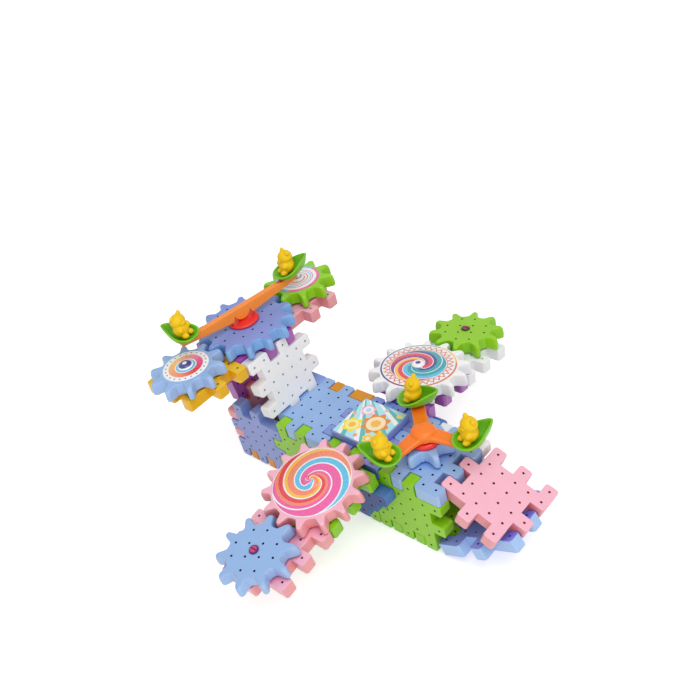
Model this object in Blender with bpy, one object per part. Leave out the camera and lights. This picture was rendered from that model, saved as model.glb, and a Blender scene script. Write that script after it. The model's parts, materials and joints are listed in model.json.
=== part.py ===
# Gear block toy plane: castellated square tiles finger-jointed into a plane, with
# meshing gears on both wings and the tail, a three-armed rotor and a seesaw.
# Units are metres, +Z is up, +X is the nose and +Y is the pilot's left.
# Layout is written in cells: every tile is a grid of 6 by 6 cells, one cell thick.
import bpy
import bmesh
from math import cos, sin, tan, radians, pi
from mathutils import Matrix, Vector

for old in list(bpy.data.objects):
    bpy.data.objects.remove(old, do_unlink=True)

# Driving sizes. CELL is in metres and everything below it down to the gears is in cells.
CELL = 0.0085
TILE = 6
CORNER_CUT = 0.13
# The frame's origin is 2 cells behind the front section's rear edge, below the wing gears.
ORIGIN_X = -2.0

# Clearances in cells: pieces that touch, half of it for each, and a shaft in its bore.
GAP = 0.0003 / CELL
HALF_GAP = GAP / 2
RUN_GAP = 0.0001 / CELL

BODY_HALF = 3.0
BODY_TOP = 6.0
SECTION_PITCH = 5

# Where the angled tiles' first row of cells is centred, and how far each leans.
TOWER_LEAN = radians(9.0)
TOWER_FRONT_X = -9.607
TOWER_BACK_X = -14.82
TOWER_BASE_Z = 5.607
NOSE_SLOPE = radians(24.0)
NOSE_X = 5.72
NOSE_Z = 5.43
CHIN_SLOPE = radians(25.7)
CHIN_X = 5.711
CHIN_Z = 0.702
TAIL_X = -15.996
TAIL_TOP = 11.164

# Wings: each side's shift along X, droop and first row centre, and its large gear's distance out.
WING_SHIFT = {"right": 0.2, "left": -0.4}
WING_REAR_X = -5.0
WING_ROW_Y = 3.73
DROOP = {"right": radians(8.8), "left": radians(6.5)}
WING_ROW_Z = {"right": 5.36, "left": 5.62}
WING_GEAR_AT = 2.5

# Gears: pitch radii of 3.5 and 2.5 cells set the 6-cell spacing of every pair.
MODULE = 0.5
LARGE_TEETH = 14
SMALL_TEETH = 10
ROTOR_TEETH = 6
ADDENDUM = 0.4
DEDENDUM = 0.52
ROOT_HALF_WIDTH = 0.43
TIP_HALF_WIDTH = 0.23
GEAR_THICK = 1.0
GEAR_LIFT = 0.13
BOSS_R = 0.85
SHAFT_R = 0.25
HEAD_R = 0.34
HEAD_RISE = 0.16
BORE_R = SHAFT_R + RUN_GAP
ROUND = 16

# Deck plate, as distances from the section's rear edge and the centreline.
PLATE_X0 = -4.0
PLATE_X1 = 0.0
PLATE_HALF = 2.0
PLATE_TOP = 6.6
DECK_PIN_X = 0.3
DECK_PIN_Y = -2.5
DECK_PIN_R = 0.17
DECK_PIN_HEAD = 0.25
DECK_PIN_RISE = 0.13

# Wing brackets: a small tile with a core of 3 by 2 cells and a stud into the side wall.
BRACKET_REAR_X = -3.0
BRACKET_ROWS = 3
STUD_FROM_REAR = 2.5
STUD_FROM_TOP = 1.0
STUD_DEPTH = 0.85

# Rotor on the front section, with its three arms and where each seat's tip points.
ROTOR_X = 3.0
ROTOR_ARMS = (-105.0, 15.0, 135.0)
ROTOR_SEAT_TURN = (198.0, 66.0, 26.0)
ARM_LENGTH = 3.55
ARM_SEAT_R = 3.35
HUB_R = 1.2
ROTOR_HUB_R = 1.05
ROTOR_HUB_RISE = 0.34

# Seesaw beam on the tail's large gear.
SEESAW_TURN = radians(79.7)
SEESAW_HALF = 5.3
SEESAW_WIDTH = 0.5
SEESAW_TOP = 13.65
SEESAW_END_DEEP = 0.42
SEESAW_MID_DEEP = 0.95
SEESAW_BOSS_R = 0.72
SEESAW_SEAT_AT = 4.9
SEESAW_SEAT_TURN = (198.0, 70.0)
TAIL_HUB_RISE = 0.22

# Leaf seats and the riders in them.
SEAT_LONG = 1.32
SEAT_WIDE = 1.02
SEAT_TIP = 0.34
SEAT_WALL = 0.17
SEAT_FLOOR = 0.2
SEAT_LOW = 0.6
SEAT_BACK = 1.0
RIDER_SIZE = 0.84

# Linear sRGB colours of the moulded plastics.
PINK = (0.90, 0.45, 0.58)
LIGHT_BLUE = (0.28, 0.46, 0.80)
PERIWINKLE = (0.28, 0.34, 0.68)
GREEN = (0.24, 0.58, 0.025)
WHITE = (0.80, 0.78, 0.77)
PURPLE = (0.38, 0.10, 0.42)
YELLOW = (0.85, 0.50, 0.03)
AMBER = (0.66, 0.26, 0.02)
ORANGE = (0.90, 0.19, 0.02)
RED = (0.76, 0.04, 0.04)
LEAF = (0.15, 0.48, 0.02)
RIDER = (0.86, 0.58, 0.005)
MAGENTA = (0.60, 0.045, 0.16)
ROYAL = (0.06, 0.10, 0.37)

X = Vector((1, 0, 0))
Y = Vector((0, 1, 0))
Z = Vector((0, 0, 1))

toy = bpy.data.collections.new("gear_block_toy_plane")
cutters = bpy.data.collections.new("cutters")
bpy.context.scene.collection.children.link(toy)
bpy.context.scene.collection.children.link(cutters)


def plastic(name, colour):
    """A gloss plastic of this colour, made once for each name."""
    material = bpy.data.materials.get(name)
    if material:
        return material
    material = bpy.data.materials.new(name)
    material.use_nodes = True
    shader = material.node_tree.nodes["Principled BSDF"]
    shader.inputs["Base Color"].default_value = (*colour, 1)
    shader.inputs["Roughness"].default_value = 0.3
    return material


def placed(at, u, v, n):
    """The matrix of a piece whose own x, y and z run along u, v and n from a point in cells."""
    turn = Matrix((u, v, n)).transposed().to_4x4()
    return Matrix.Translation((at - X * ORIGIN_X) * CELL) @ turn


def add(name, data, matrix, colour, collection=toy):
    """Links a piece, with the material of its own colour."""
    piece = bpy.data.objects.new(name, data)
    collection.objects.link(piece)
    piece.matrix_world = matrix
    if collection is toy:
        data.materials.append(plastic("mat_" + name, colour))
    else:
        piece.hide_render = True
        piece.display_type = "WIRE"
    return piece


def boolean(piece, other, operation):
    """One exact Boolean with a piece from the cutters."""
    cut = piece.modifiers.new(operation.lower() + "_" + other.name, "BOOLEAN")
    cut.operation = operation
    cut.solver = "EXACT"
    cut.object = other


def circle(radius, count=ROUND, centre=(0, 0)):
    """Points round a circle, in cells."""
    step = 2 * pi / count
    return [
        (centre[0] + radius * cos(step * k), centre[1] + radius * sin(step * k))
        for k in range(count)
    ]


def plate(name, outlines, low, high):
    """A flat piece from low to high, in cells. Outlines after the first are its holes."""
    if len(outlines) == 1:
        return loft(name, [[(px, py, height) for px, py in outlines[0]] for height in (low, high)])
    curve = bpy.data.curves.new(name, "CURVE")
    curve.dimensions = "2D"
    curve.fill_mode = "BOTH"
    curve.extrude = (high - low) / 2 * CELL
    for outline in outlines:
        spline = curve.splines.new("POLY")
        spline.points.add(len(outline) - 1)
        for point, (px, py) in zip(spline.points, outline):
            point.co = (px * CELL, py * CELL, 0, 1)
        spline.use_cyclic_u = True
    flat = bpy.data.objects.new(name, curve)
    cutters.objects.link(flat)
    mesh = bpy.data.meshes.new_from_object(flat)
    bpy.data.objects.remove(flat, do_unlink=True)
    mesh.name = name
    form = bmesh.new()
    form.from_mesh(mesh)
    bmesh.ops.translate(form, verts=form.verts, vec=(0, 0, (high + low) / 2 * CELL))
    bmesh.ops.remove_doubles(form, verts=form.verts, dist=1e-6)
    bmesh.ops.recalc_face_normals(form, faces=form.faces)
    form.to_mesh(mesh)
    form.free()
    return mesh


def lathe(name, profile, count=ROUND):
    """A closed solid of revolution from (radius, height) points that start and end at radius 0."""
    form = bmesh.new()
    rings = []
    for radius, height in profile:
        if radius == 0:
            rings.append([form.verts.new((0, 0, height * CELL))])
        else:
            rings.append(
                [
                    form.verts.new((px * CELL, py * CELL, height * CELL))
                    for px, py in circle(radius, count)
                ]
            )
    for low, high in zip(rings, rings[1:]):
        for k in range(count):
            m = (k + 1) % count
            if len(low) == 1:
                form.faces.new((low[0], high[k], high[m]))
            elif len(high) == 1:
                form.faces.new((low[k], low[m], high[0]))
            else:
                form.faces.new((low[k], low[m], high[m], high[k]))
    bmesh.ops.recalc_face_normals(form, faces=form.faces)
    mesh = bpy.data.meshes.new(name)
    form.to_mesh(mesh)
    form.free()
    return mesh


def loft(name, rings):
    """A closed solid through rings of points in cells, with flat ends."""
    form = bmesh.new()
    made = [[form.verts.new(Vector(p) * CELL) for p in ring] for ring in rings]
    for low, high in zip(made, made[1:]):
        for k in range(len(low)):
            m = (k + 1) % len(low)
            form.faces.new((low[k], low[m], high[m], high[k]))
    form.faces.new(made[0][::-1])
    form.faces.new(made[-1])
    bmesh.ops.recalc_face_normals(form, faces=form.faces)
    mesh = bpy.data.meshes.new(name)
    form.to_mesh(mesh)
    form.free()
    return mesh


def ball(name, centre, radii, across=12, around=8):
    """A cutter-collection ellipsoid, in cells, for the riders' unions."""
    form = bmesh.new()
    bmesh.ops.create_uvsphere(form, u_segments=across, v_segments=around, radius=1)
    size = RIDER_SIZE * CELL
    grow = Matrix.Diagonal((*(r * size for r in radii), 1))
    bmesh.ops.transform(form, matrix=Matrix.Translation(Vector(centre) * size) @ grow, verts=form.verts)
    mesh = bpy.data.meshes.new(name)
    form.to_mesh(mesh)
    form.free()
    return mesh


# Tiles. Each side of the 4 by 4 core has two tabs, set so that a neighbour turned
# to any side falls into the gaps, and one corner cell fills the corner where three meet.
CORE = {(i, j) for i in range(1, 5) for j in range(1, 5)}
TABS = {(2, 0), (4, 0), (5, 2), (5, 4), (3, 5), (1, 5), (0, 3), (0, 1)}


def outline_of(cells):
    """The cells' outline, anticlockwise, set in by half a gap and cut at its outer corners."""
    step = {}
    for i, j in cells:
        if (i, j - 1) not in cells:
            step[(i, j)] = (i + 1, j)
        if (i + 1, j) not in cells:
            step[(i + 1, j)] = (i + 1, j + 1)
        if (i, j + 1) not in cells:
            step[(i + 1, j + 1)] = (i, j + 1)
        if (i - 1, j) not in cells:
            step[(i, j + 1)] = (i, j)
    start = min(step)
    walk = [start]
    while step[walk[-1]] != start:
        walk.append(step[walk[-1]])
    points = []
    for before, here, after in zip(walk[-1:] + walk[:-1], walk, walk[1:] + walk[:1]):
        came = (here[0] - before[0], here[1] - before[1])
        goes = (after[0] - here[0], after[1] - here[1])
        turn = came[0] * goes[1] - came[1] * goes[0]
        if turn == 0:
            continue
        corner = (
            here[0] + HALF_GAP * (-came[1] - goes[1]),
            here[1] + HALF_GAP * (came[0] + goes[0]),
        )
        if turn > 0:
            points.append((corner[0] - CORNER_CUT * came[0], corner[1] - CORNER_CUT * came[1]))
            points.append((corner[0] + CORNER_CUT * goes[0], corner[1] + CORNER_CUT * goes[1]))
        else:
            points.append(corner)
    return points


def tile(name, at, u, v, corner, colour, flip=False, holes=()):
    """A tile whose outer face's cell (0, 0) starts at a point in cells."""
    cells = CORE | TABS
    if flip:
        cells = {(TILE - 1 - i, j) for i, j in cells}
    cells = cells | {corner}
    outlines = [outline_of(cells)] + [circle(r, ROUND, (hx, hy)) for hx, hy, r in holes]
    mesh = plate(name, outlines, -1 + HALF_GAP, 0)
    return add(name, mesh, placed(Vector(at), u, v, u.cross(v)), colour)


def side_tile(name, side, front_x, colour, holes=()):
    """A side wall tile of the section whose rear edge is one pitch and a cell behind front_x."""
    if side == "right":
        return tile(name, (front_x - TILE, -BODY_HALF, 0), X, Z, (0, 0), colour, holes=holes)
    return tile(name, (front_x, BODY_HALF, 0), -X, Z, (0, TILE - 1), colour, holes=holes)


# Wing frames: a point and three axes on the wing's top face, at the first row's centre.
def wing_frame(side):
    s = -1 if side == "right" else 1
    droop = DROOP[side]
    out = Vector((0, s * cos(droop), -sin(droop)))
    up = Vector((0, s * sin(droop), cos(droop)))
    row = Vector((WING_REAR_X + TILE / 2 + WING_SHIFT[side], s * WING_ROW_Y, WING_ROW_Z[side]))
    return row + up * 0.5, out, up


def bracket_row_z(side):
    """Height of the bracket's top edge, one gap below the wing at the bracket's outer face."""
    droop = DROOP[side]
    outer = BODY_HALF + 1 + HALF_GAP
    under = WING_ROW_Z[side] - 0.5 * cos(droop) - tan(droop) * (outer - WING_ROW_Y + 0.5 * sin(droop))
    return under - GAP + HALF_GAP


STUD_X = {side: BRACKET_REAR_X + STUD_FROM_REAR + shift for side, shift in WING_SHIFT.items()}
CENTRE_FRONT = 1.0
CENTRE_REAR = CENTRE_FRONT - TILE

# Front section, with the nose's two sloping tiles.
tile("front_top", (0, -BODY_HALF, BODY_TOP), X, Y, (5, 0), LIGHT_BLUE, holes=[(ROTOR_X, TILE / 2, BORE_R)])
side_tile("front_right", "right", 6, GREEN)
side_tile("front_left", "left", 6, WHITE)
tile("front_bottom", (0, BODY_HALF, 0), X, -Y, (5, 0), GREEN)

down = Vector((cos(NOSE_SLOPE), 0, -sin(NOSE_SLOPE)))
above = down.cross(Y)
row = Vector((NOSE_X, -BODY_HALF, NOSE_Z))
tile("nose_upper", row - down * 0.5 + above * 0.5, down, Y, (5, 5), PINK)
rise = Vector((cos(CHIN_SLOPE), 0, sin(CHIN_SLOPE)))
below = rise.cross(-Y)
row = Vector((CHIN_X, BODY_HALF, CHIN_Z))
tile("nose_lower", row - rise * 0.5 + below * 0.5, rise, -Y, (0, 5), LIGHT_BLUE)

# Centre section, with the raised plate on its deck and a pin in the deck's corner cell.
tile("deck", (CENTRE_REAR, -BODY_HALF, BODY_TOP), X, Y, (5, 0), PERIWINKLE,
     holes=[(DECK_PIN_X - CENTRE_REAR, DECK_PIN_Y + BODY_HALF, DECK_PIN_R + RUN_GAP)])
side_tile("centre_right", "right", CENTRE_FRONT, GREEN,
          holes=[(STUD_X["right"] - CENTRE_REAR, bracket_row_z("right") - STUD_FROM_TOP, BORE_R)])
side_tile("centre_left", "left", CENTRE_FRONT, PERIWINKLE,
          holes=[(CENTRE_FRONT - STUD_X["left"], bracket_row_z("left") - STUD_FROM_TOP, BORE_R)])
tile("centre_bottom", (CENTRE_REAR, BODY_HALF, 0), X, -Y, (5, 0), PERIWINKLE)

plate_line = [(PLATE_X0, -PLATE_HALF), (PLATE_X1, -PLATE_HALF), (PLATE_X1, PLATE_HALF), (PLATE_X0, PLATE_HALF)]
add("deck_plate", plate("deck_plate", [plate_line], BODY_TOP + GAP, PLATE_TOP), placed(Vector(), X, Y, Z), PERIWINKLE)
pin_line = [(0, 1 - GAP), (DECK_PIN_R, 1 - GAP), (DECK_PIN_R, -GAP), (DECK_PIN_HEAD, -GAP),
            (DECK_PIN_HEAD, -GAP - DECK_PIN_RISE * 0.6), (DECK_PIN_HEAD * 0.7, -GAP - DECK_PIN_RISE),
            (0, -GAP - DECK_PIN_RISE)]
add("deck_pin", lathe("deck_pin", [(r, -h) for r, h in pin_line], 16),
    placed(Vector((DECK_PIN_X, DECK_PIN_Y, BODY_TOP)), X, Y, Z), MAGENTA)

# Middle section.
MID_FRONT = CENTRE_FRONT - SECTION_PITCH
tile("mid_top", (MID_FRONT - TILE, -BODY_HALF, BODY_TOP), X, Y, (5, 0), LIGHT_BLUE)
side_tile("mid_right", "right", MID_FRONT, GREEN)
side_tile("mid_left", "left", MID_FRONT, AMBER)
tile("mid_bottom", (MID_FRONT - TILE, BODY_HALF, 0), X, -Y, (5, 0), GREEN)

# Rear section, open at the top, with its end wall.
REAR_FRONT = MID_FRONT - SECTION_PITCH
REAR_X = REAR_FRONT - TILE
side_tile("rear_right", "right", REAR_FRONT, PERIWINKLE)
side_tile("rear_left", "left", REAR_FRONT, PERIWINKLE)
tile("rear_bottom", (REAR_X, BODY_HALF, 0), X, -Y, (5, 0), AMBER)
tile("rear_end", (REAR_X, BODY_HALF, 0), -Y, Z, (0, 0), PINK)

# Tower: two parallel tiles that lean back.
lean = Vector((-sin(TOWER_LEAN), 0, cos(TOWER_LEAN)))
ahead = Vector((cos(TOWER_LEAN), 0, sin(TOWER_LEAN)))
row = Vector((TOWER_FRONT_X, -BODY_HALF, TOWER_BASE_Z))
tile("tower_front", row - lean * 0.5 + ahead * 0.5, Y, lean, (0, 5), WHITE)
row = Vector((TOWER_BACK_X, BODY_HALF, TOWER_BASE_Z))
tile("tower_back", row - lean * 0.5 - ahead * 0.5, -Y, lean, (0, 0), PURPLE)

# Tail plane: three tiles side by side, with a gear over each.
TAIL_MID_X = TAIL_X + TILE / 2
SMALL_AT = MODULE * (LARGE_TEETH + SMALL_TEETH) / 2
tile("tail_centre", (TAIL_X, -BODY_HALF, TAIL_TOP), X, Y, (0, 0), PURPLE, holes=[(3, 3, BORE_R)])
tile("tail_right", (TAIL_X, -BODY_HALF - SECTION_PITCH, TAIL_TOP), X, Y, (0, 0), YELLOW, holes=[(3, 2, BORE_R)])
tile("tail_left", (TAIL_X, -BODY_HALF + SECTION_PITCH, TAIL_TOP), X, Y, (0, 0), PINK, holes=[(3, 4, BORE_R)])

# Wings and the brackets that carry them.
WING_COLOURS = {"right": (GREEN, PINK), "left": (PURPLE, WHITE)}
for side in ("right", "left"):
    origin, out, up = wing_frame(side)
    inward = up.cross(X)
    sign = 1 if side == "right" else -1
    for end, first, hole in (("root", 0, WING_GEAR_AT), ("tip", SECTION_PITCH, WING_GEAR_AT + SMALL_AT)):
        # The tile's own V runs along up x X, which is inward on the right and outward on the left.
        far = TILE - 0.5 + first if side == "right" else first - 0.5
        at = origin + out * far - X * TILE / 2
        across = far - hole if side == "right" else hole - far
        corner = (5, 5) if side == "right" else (5, 0)
        tile("wing_" + side + "_" + end, at, X, inward, corner, WING_COLOURS[side][end == "tip"],
             flip=side == "right", holes=[(3, across, BORE_R)])

    top = bracket_row_z(side)
    cells = {(i, j) for i in (1, 2, 3) for j in (1, 2)} | {(1, 3), (2, 0), (4, 2), (0, 1)}
    outer = BODY_HALF + 1 + HALF_GAP
    at = Vector((BRACKET_REAR_X + WING_SHIFT[side], -sign * outer, top - BRACKET_ROWS))
    if side == "left":
        cells = {(4 - i, j) for i, j in cells}
        at += X * 5
    face = plate("bracket_" + side, [outline_of(cells)], -1 + HALF_GAP, 0)
    bracket = add("bracket_" + side, face, placed(at, X * sign, Z, -Y * sign), ROYAL)
    stud_at = Vector((STUD_X[side], -sign * (outer - 0.5), top - STUD_FROM_TOP))
    stud_end = -0.5 - STUD_DEPTH
    stud_line = [(0, 0), (SHAFT_R, 0), (SHAFT_R, stud_end), (0, stud_end)]
    stud = add("stud_" + side, lathe("stud_" + side, stud_line), placed(stud_at, X * sign, Z, -Y * sign), None, cutters)
    boolean(bracket, stud, "UNION")


# Gears. A tooth of the large gear points at the small one, and a gap of the small gear meets it.
def gear_line(teeth, first):
    """Outline of a gear with tapered round-ended teeth, the first of them at an angle."""
    pitch_r = MODULE * teeth / 2
    root_r = pitch_r - DEDENDUM
    tip_r = pitch_r + ADDENDUM
    mid_r = tip_r - TIP_HALF_WIDTH * 1.1
    foot = (root_r + 0.1, ROOT_HALF_WIDTH)
    shoulder = (mid_r, TIP_HALF_WIDTH + 0.03)
    nose = (tip_r - 0.04, TIP_HALF_WIDTH * 0.55)
    points = []
    for k in range(teeth):
        turn = first + 2 * pi * k / teeth
        half = pi / teeth
        for r, w in ((foot[0], -foot[1]), (shoulder[0], -shoulder[1]), (nose[0], -nose[1]), (tip_r, 0),
                     (nose[0], nose[1]), (shoulder[0], shoulder[1]), (foot[0], foot[1])):
            points.append((r * cos(turn) - w * sin(turn), r * sin(turn) + w * cos(turn)))
        points.append((root_r * cos(turn + half), root_r * sin(turn + half)))
    return points


def gear(name, teeth, at, up, colour):
    """A gear over the point at on a tile's face, with a boss down to the tile and a bore."""
    first = pi / 2 + pi / teeth if teeth == SMALL_TEETH else pi / 2
    mesh = plate(name, [gear_line(teeth, first)], GEAR_LIFT, GEAR_LIFT + GEAR_THICK)
    matrix = placed(at, X, up.cross(X), up)
    piece = add(name, mesh, matrix, colour)
    deep = GEAR_LIFT + GEAR_THICK / 2
    boss_line = [(0, GAP), (BOSS_R, GAP), (BOSS_R, deep), (0, deep)]
    boolean(piece, add("boss_" + name, lathe("boss_" + name, boss_line), matrix, None, cutters), "UNION")
    bore_line = [(0, -1), (BORE_R, -1), (BORE_R, 2), (0, 2)]
    boolean(piece, add("bore_" + name, lathe("bore_" + name, bore_line), matrix, None, cutters), "DIFFERENCE")
    return piece


def gear_pin(name, at, up, colour):
    """An axle pin: its shank is held in the tile and its head keeps the gear on."""
    seat = GEAR_LIFT + GEAR_THICK + GAP
    line = [(0, -1 + GAP), (SHAFT_R, -1 + GAP), (SHAFT_R, seat), (HEAD_R, seat),
            (HEAD_R, seat + HEAD_RISE * 0.6), (HEAD_R - 0.07, seat + HEAD_RISE), (0, seat + HEAD_RISE)]
    return add(name, lathe(name, line), placed(at, X, up.cross(X), up), colour)


WING_GEARS = {"right": (PINK, LIGHT_BLUE), "left": (WHITE, GREEN)}
for side in ("right", "left"):
    origin, out, up = wing_frame(side)
    large_at = origin + out * WING_GEAR_AT
    small_at = large_at + out * SMALL_AT
    gear("gear_" + side + "_large", LARGE_TEETH, large_at, up, WING_GEARS[side][0])
    gear("gear_" + side + "_small", SMALL_TEETH, small_at, up, WING_GEARS[side][1])
    gear_pin("pin_" + side + "_large", large_at, up, MAGENTA)
    gear_pin("pin_" + side + "_small", small_at, up, MAGENTA)

TAIL_GEAR = Vector((TAIL_MID_X, 0, TAIL_TOP))
gear("gear_tail_large", LARGE_TEETH, TAIL_GEAR, Z, PERIWINKLE)
for side, sign, colour in (("right", -1, LIGHT_BLUE), ("left", 1, GREEN)):
    at = TAIL_GEAR + Y * sign * SMALL_AT
    gear("gear_tail_" + side, SMALL_TEETH, at, Z, colour)
    gear_pin("pin_tail_" + side, at, Z, MAGENTA)

ROTOR_GEAR = Vector((ROTOR_X, 0, BODY_TOP))
gear("gear_rotor", ROTOR_TEETH, ROTOR_GEAR, Z, LIGHT_BLUE)

# Hubs: a red cap on the gear with the shaft that runs down into the tile.
hub_seat = GEAR_LIFT + GEAR_THICK + GAP
hub_line = [(0, -1 + GAP), (SHAFT_R, -1 + GAP), (SHAFT_R, hub_seat), (ROTOR_HUB_R, hub_seat),
            (ROTOR_HUB_R * 0.97, hub_seat + ROTOR_HUB_RISE * 0.45), (ROTOR_HUB_R * 0.8, hub_seat + ROTOR_HUB_RISE),
            (0, hub_seat + ROTOR_HUB_RISE)]
add("hub_rotor", lathe("hub_rotor", hub_line), placed(ROTOR_GEAR, X, Y, Z), RED)
hub_line = [(0, -1 + GAP), (SHAFT_R, -1 + GAP), (SHAFT_R, hub_seat), (HUB_R, hub_seat),
            (HUB_R, hub_seat + TAIL_HUB_RISE * 0.5), (HUB_R * 0.85, hub_seat + TAIL_HUB_RISE),
            (0, hub_seat + TAIL_HUB_RISE)]
add("hub_tail", lathe("hub_tail", hub_line), placed(TAIL_GEAR, X, Y, Z), RED)

# Rotor: a domed hub joined to three drooping arms.
rotor_z = BODY_TOP + hub_seat + ROTOR_HUB_RISE + GAP
dome_line = [(0, 0), (0.78, 0), (0.88, 0.12), (0.86, 0.36), (0.76, 0.56), (0.54, 0.72), (0.28, 0.8), (0, 0.82)]
rotor_at = placed(Vector((ROTOR_X, 0, rotor_z)), X, Y, Z)
rotor = add("rotor", lathe("rotor", dome_line), rotor_at, ORANGE)
ARM_SECTIONS = ((0.4, 0.68, 0.08, 0.62), (1.1, 0.54, 0.05, 0.46), (2.3, 0.5, -0.1, 0.16), (ARM_LENGTH, 0.48, -0.22, 0.12))
SEAT_ON_ARM = 0.16
for n, angle in enumerate(ROTOR_ARMS):
    rings = []
    for r, half, low, high in ARM_SECTIONS:
        edge = half * 0.88
        rings.append([(r, -half, low), (r, half, low), (r, edge, high), (r, -edge, high)])
    arm_mesh = loft("arm_" + str(n + 1), rings)
    turned = rotor_at @ Matrix.Rotation(radians(angle), 4, "Z")
    boolean(rotor, add("arm_" + str(n + 1), arm_mesh, turned, None, cutters), "UNION")

# Seesaw: a beam deep at its middle, with a round boss on the hub.
beam_low = SEESAW_TOP - SEESAW_MID_DEEP
boss_z = TAIL_TOP + hub_seat + TAIL_HUB_RISE + GAP + SEESAW_BOSS_R
beam = [(-SEESAW_HALF, SEESAW_TOP), (-SEESAW_HALF, SEESAW_TOP - SEESAW_END_DEEP)]
beam += [(-SEESAW_BOSS_R - 0.12, beam_low)]
beam += [(SEESAW_BOSS_R * cos(a), boss_z + SEESAW_BOSS_R * sin(a)) for a in (pi + pi * k / 10 for k in range(1, 10))]
beam += [(SEESAW_BOSS_R + 0.12, beam_low), (SEESAW_HALF, SEESAW_TOP - SEESAW_END_DEEP), (SEESAW_HALF, SEESAW_TOP)]
along = Vector((cos(SEESAW_TURN), sin(SEESAW_TURN), 0))
beam_at = placed(Vector((TAIL_MID_X, 0, 0)), along, Z, along.cross(Z))
add("seesaw", plate("seesaw", [beam], -SEESAW_WIDTH / 2, SEESAW_WIDTH / 2), beam_at, ORANGE)


# Seats and riders.
def leaf_ring(scale, inset, height, rise):
    """A leaf outline: its tip at +x is pointed and its rim stands higher there."""
    ring = []
    count = 20
    for k in range(count):
        a = 2 * pi * k / count
        long = SEAT_LONG * cos(a) + SEAT_TIP * max(0, cos(a)) ** 6
        wide = SEAT_WIDE * sin(a) * (1 - 0.25 * cos(a))
        reach = max((long * long + wide * wide) ** 0.5, 1e-6)
        keep = scale - inset / reach
        back = ((1 + cos(a)) / 2) ** 1.5
        ring.append((long * keep, wide * keep, height + rise * (SEAT_LOW + SEAT_BACK * back)))
    return ring


def seat_mesh(name):
    rings = [
        leaf_ring(0.5, 0, 0, 0),
        leaf_ring(0.86, 0, 0, 0.42),
        leaf_ring(1.0, 0, 0, 1),
        leaf_ring(1.0, SEAT_WALL, 0, 1),
        leaf_ring(0.86, SEAT_WALL, SEAT_FLOOR * 0.7, 0.42),
        leaf_ring(0.5, 0.05, SEAT_FLOOR, 0),
    ]
    return loft(name, rings)


RIDER_BALLS = (
    ("head", (0.02, 0, 1.76), (0.64, 0.68, 0.6)),
    ("ear_a", (0.06, 0.48, 2.26), (0.19, 0.22, 0.24)),
    ("ear_b", (0.06, -0.48, 2.26), (0.19, 0.22, 0.24)),
    ("muzzle", (-0.56, 0, 1.64), (0.26, 0.3, 0.24)),
    ("foot_a", (-0.64, 0.34, 0.42), (0.36, 0.27, 0.27)),
    ("foot_b", (-0.64, -0.34, 0.42), (0.36, 0.27, 0.27)),
    ("arm_a", (-0.4, 0.6, 1.04), (0.34, 0.24, 0.24)),
    ("arm_b", (-0.4, -0.6, 1.04), (0.34, 0.24, 0.24)),
)


def seat_and_rider(name, at, turn):
    """A leaf seat standing on the point at, with its rider facing away from the leaf's tip."""
    matrix = placed(at, X, Y, Z) @ Matrix.Rotation(radians(turn), 4, "Z")
    add("seat_" + name, seat_mesh("seat_" + name), matrix, LEAF)
    body = ball("rider_" + name, (0, 0, 0.88), (0.64, 0.68, 0.76), 10, 7)
    inside = matrix @ Matrix.Translation((0, 0, (SEAT_FLOOR + GAP - 0.12 * RIDER_SIZE) * CELL))
    rider = add("rider_" + name, body, inside, RIDER)
    for part_name, centre, radii in RIDER_BALLS:
        lump = part_name + "_" + name
        across, around = (10, 6) if part_name == "head" else (6, 4)
        boolean(rider, add(lump, ball(lump, centre, radii, across, around), inside, None, cutters), "UNION")


for n, angle in enumerate(ROTOR_ARMS):
    a = radians(angle)
    at = Vector((ROTOR_X + ARM_SEAT_R * cos(a), ARM_SEAT_R * sin(a), rotor_z + SEAT_ON_ARM + GAP))
    seat_and_rider("rotor_" + str(n + 1), at, ROTOR_SEAT_TURN[n])

for (end, s), turn in zip((("right", -1), ("left", 1)), SEESAW_SEAT_TURN):
    at = Vector((TAIL_MID_X, 0, SEESAW_TOP + GAP)) + along * s * SEESAW_SEAT_AT
    seat_and_rider("tail_" + end, at, turn)
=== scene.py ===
import json
from math import cos, pi, radians, sin, tau

import bmesh
import bpy
from mathutils import Matrix, Vector

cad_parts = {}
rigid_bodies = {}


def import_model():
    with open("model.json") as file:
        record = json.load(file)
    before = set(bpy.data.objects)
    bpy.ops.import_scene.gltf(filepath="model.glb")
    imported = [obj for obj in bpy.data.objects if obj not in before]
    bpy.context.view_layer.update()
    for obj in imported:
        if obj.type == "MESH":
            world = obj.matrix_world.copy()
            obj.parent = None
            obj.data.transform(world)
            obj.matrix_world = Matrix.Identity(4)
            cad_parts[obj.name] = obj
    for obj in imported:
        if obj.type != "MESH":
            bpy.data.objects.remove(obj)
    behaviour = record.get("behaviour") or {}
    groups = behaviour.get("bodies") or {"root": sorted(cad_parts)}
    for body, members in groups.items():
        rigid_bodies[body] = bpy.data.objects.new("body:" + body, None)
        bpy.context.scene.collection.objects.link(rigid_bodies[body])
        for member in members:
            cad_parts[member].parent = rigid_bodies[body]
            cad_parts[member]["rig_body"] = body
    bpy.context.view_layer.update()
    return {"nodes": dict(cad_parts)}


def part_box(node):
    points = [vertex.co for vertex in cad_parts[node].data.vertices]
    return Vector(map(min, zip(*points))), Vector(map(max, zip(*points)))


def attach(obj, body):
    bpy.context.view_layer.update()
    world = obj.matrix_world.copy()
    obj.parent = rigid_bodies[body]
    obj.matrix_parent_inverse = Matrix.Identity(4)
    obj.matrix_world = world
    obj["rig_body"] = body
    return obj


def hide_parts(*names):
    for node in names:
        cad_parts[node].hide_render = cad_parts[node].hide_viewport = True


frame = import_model()
nodes = frame["nodes"]

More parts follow.
